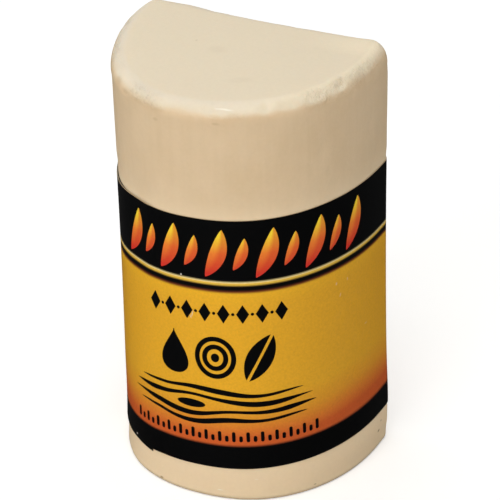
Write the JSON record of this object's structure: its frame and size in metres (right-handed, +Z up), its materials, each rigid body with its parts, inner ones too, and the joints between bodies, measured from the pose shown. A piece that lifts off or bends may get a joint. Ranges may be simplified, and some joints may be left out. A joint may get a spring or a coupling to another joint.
{
  "type": "furniture repair wax stick",
  "caption": "Cast stick of soft furniture repair wax with a round front, flat back, dished top and flat foot, wrapped once by a printed self-adhesive label.",
  "frame": {"origin": "middle of the flat foot, on the surface that the stick stands on", "axes": "+Z up along the stick, +Y towards the flat back, -Y towards the round front, +X to the right seen from the front"},
  "size_m": [0.0256, 0.018, 0.0431],
  "materials": {
    "wax": "soft satin wax, cream",
    "adhesive": "clear tacky coat",
    "label": "glossy printed film, yellow with black bands"
  },
  "bodies": {
    "root": {"wax_stick": "wax", "label_adhesive": "adhesive", "label_film": "label"}
  },
  "joints": []
}
